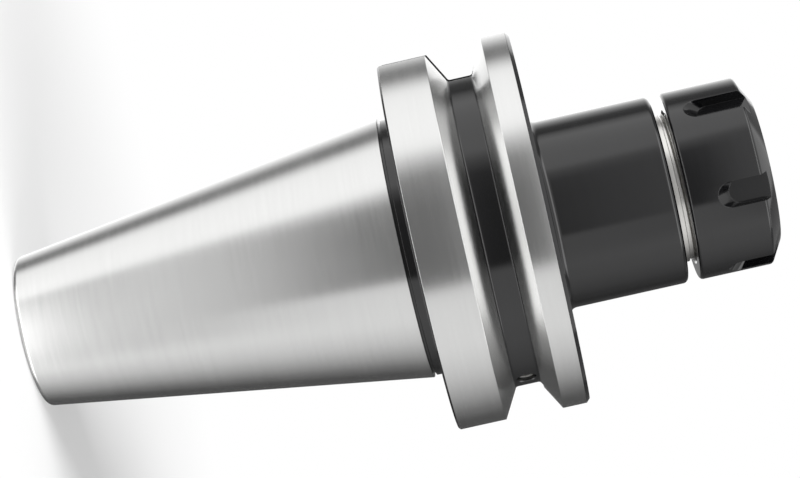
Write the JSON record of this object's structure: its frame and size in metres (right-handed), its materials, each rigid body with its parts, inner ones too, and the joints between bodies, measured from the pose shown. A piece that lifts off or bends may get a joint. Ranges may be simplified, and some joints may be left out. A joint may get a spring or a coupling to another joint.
{
  "type": "collet chuck holder",
  "caption": "Steel tool holder with a 7:24 taper shank, grooved drive flange, black nose and a slotted nut that clamps a spring collet.",
  "frame": {"origin": "centre of the taper's small end face, on the spindle axis, at the part's lowest plane", "axes": "+Z along the spindle axis from the taper's small end to the clamping nut; +X through the middle of one drive slot"},
  "size_m": [0.1, 0.1, 0.1973],
  "materials": {
    "ground_steel": "fine ground, with the collar, groove floor, flange face and nose blackened",
    "screw_steel": "dull",
    "blackened_steel": "glossy black oxide",
    "ring_steel": "ground",
    "wire_steel": "drawn"
  },
  "bodies": {
    "holder": {"holder_body": "ground_steel", "groove_plug_screw": "screw_steel"},
    "ring": {"extractor_ring": "ring_steel"},
    "nut": {"clamping_nut": "blackened_steel", "retaining_wire": "wire_steel"}
  },
  "joints": [
    {"name": "nut_advance", "type": "slide", "parent": "holder", "child": "ring", "axis": [0, 0, 1], "range_m": [-0.0015, 0.012]},
    {"name": "nut_turn", "type": "hinge", "parent": "ring", "child": "nut", "pos_m": [0, 0, 0.186], "axis": [0, 0, 1], "range_deg": [-360, 2880]}
  ],
  "couplings": [
    {"joint": "nut_advance", "follows": "nut_turn", "m_per_rad": 0.00023873}
  ]
}
